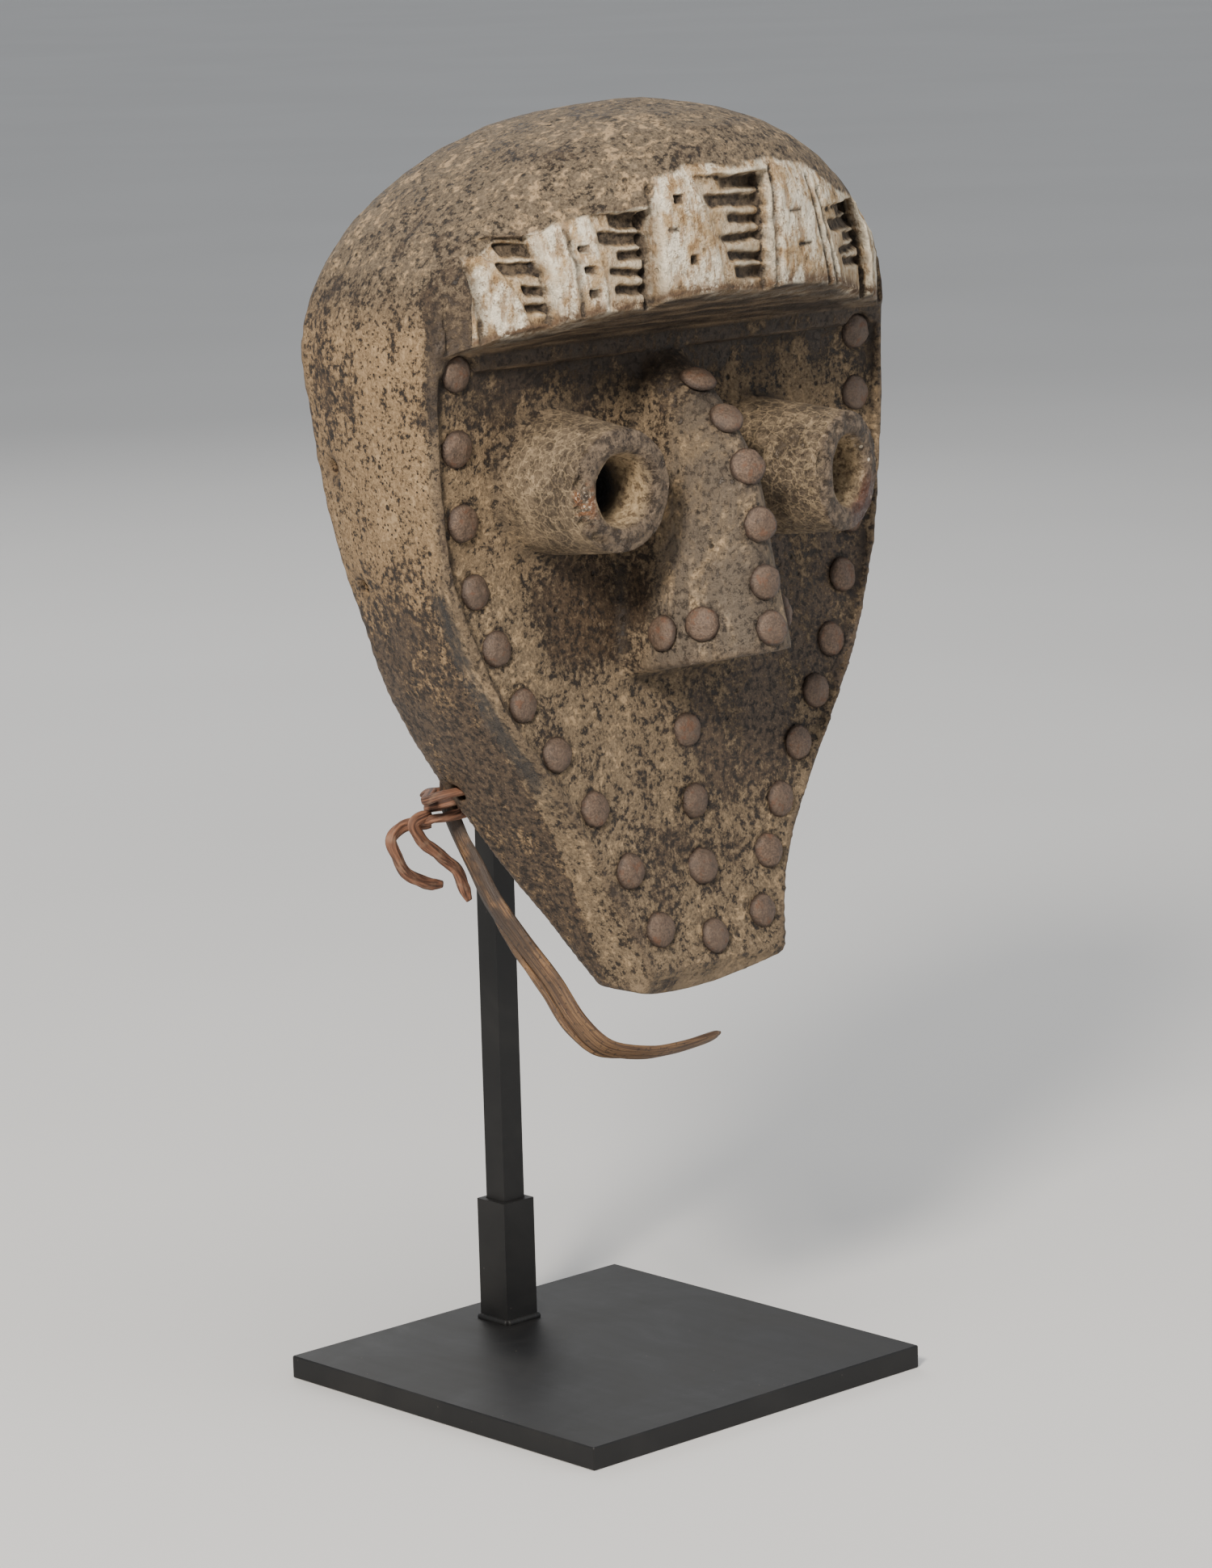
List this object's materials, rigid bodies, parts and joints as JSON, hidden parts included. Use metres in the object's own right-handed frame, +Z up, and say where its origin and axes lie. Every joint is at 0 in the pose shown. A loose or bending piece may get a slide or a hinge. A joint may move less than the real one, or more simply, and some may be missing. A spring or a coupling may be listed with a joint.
{
  "type": "carved wooden mask on display stand",
  "caption": "Carved hardwood mask with tube eyes, notched visor brow and domed tacks, held on a black steel post and plate.",
  "frame": {"origin": "middle of the base plate's underside", "axes": "+Z up, -Y is the way the mask looks, +X is to the right of someone facing the mask"},
  "size_m": [0.1792, 0.1448, 0.3746],
  "materials": {
    "carved_wood": "hand-carved hardwood, dark smoke patina with dry ochre clay crust and white kaolin on the visor",
    "oxidised_iron": "domed upholstery tack heads, oxidised brown with rust",
    "black_steel": "satin black paint, dusty and lightly scuffed",
    "black_felt": "thin black felt discs",
    "rattan": "split cane, tan to amber, dirty and splitting",
    "dried_fibre": "dried twisted plant fibre, red-brown"
  },
  "bodies": {
    "root": {"mask": "carved_wood", "tack_left_01": "oxidised_iron", "tack_left_02": "oxidised_iron", "tack_left_03": "oxidised_iron", "tack_left_04": "oxidised_iron", "tack_left_05": "oxidised_iron", "tack_left_06": "oxidised_iron", "tack_left_07": "oxidised_iron", "tack_left_08": "oxidised_iron", "tack_left_09": "oxidised_iron", "tack_left_10": "oxidised_iron", "tack_right_01": "oxidised_iron", "tack_right_02": "oxidised_iron", "tack_right_03": "oxidised_iron", "tack_right_04": "oxidised_iron", "tack_right_05": "oxidised_iron", "tack_right_06": "oxidised_iron", "tack_right_07": "oxidised_iron", "tack_right_08": "oxidised_iron", "tack_right_09": "oxidised_iron", "tack_right_10": "oxidised_iron", "tack_right_11": "oxidised_iron", "tack_nose_01": "oxidised_iron", "tack_nose_02": "oxidised_iron", "tack_nose_03": "oxidised_iron", "tack_nose_04": "oxidised_iron", "tack_nose_05": "oxidised_iron", "tack_nose_06": "oxidised_iron", "tack_chin_01": "oxidised_iron", "tack_chin_02": "oxidised_iron", "tack_chin_03": "oxidised_iron", "tack_chin_04": "oxidised_iron", "tack_nose_side_01": "oxidised_iron", "tack_nose_side_02": "oxidised_iron", "tack_nose_side_03": "oxidised_iron", "base_plate": "black_steel", "post_sleeve": "black_steel", "post": "black_steel", "upper_arm": "black_steel", "lower_arm": "black_steel", "crown_pad": "black_felt", "chin_pad": "black_felt", "rattan_hoop": "rattan", "tie_knot": "dried_fibre", "tie_loop": "dried_fibre", "tie_end": "dried_fibre"}
  },
  "joints": []
}
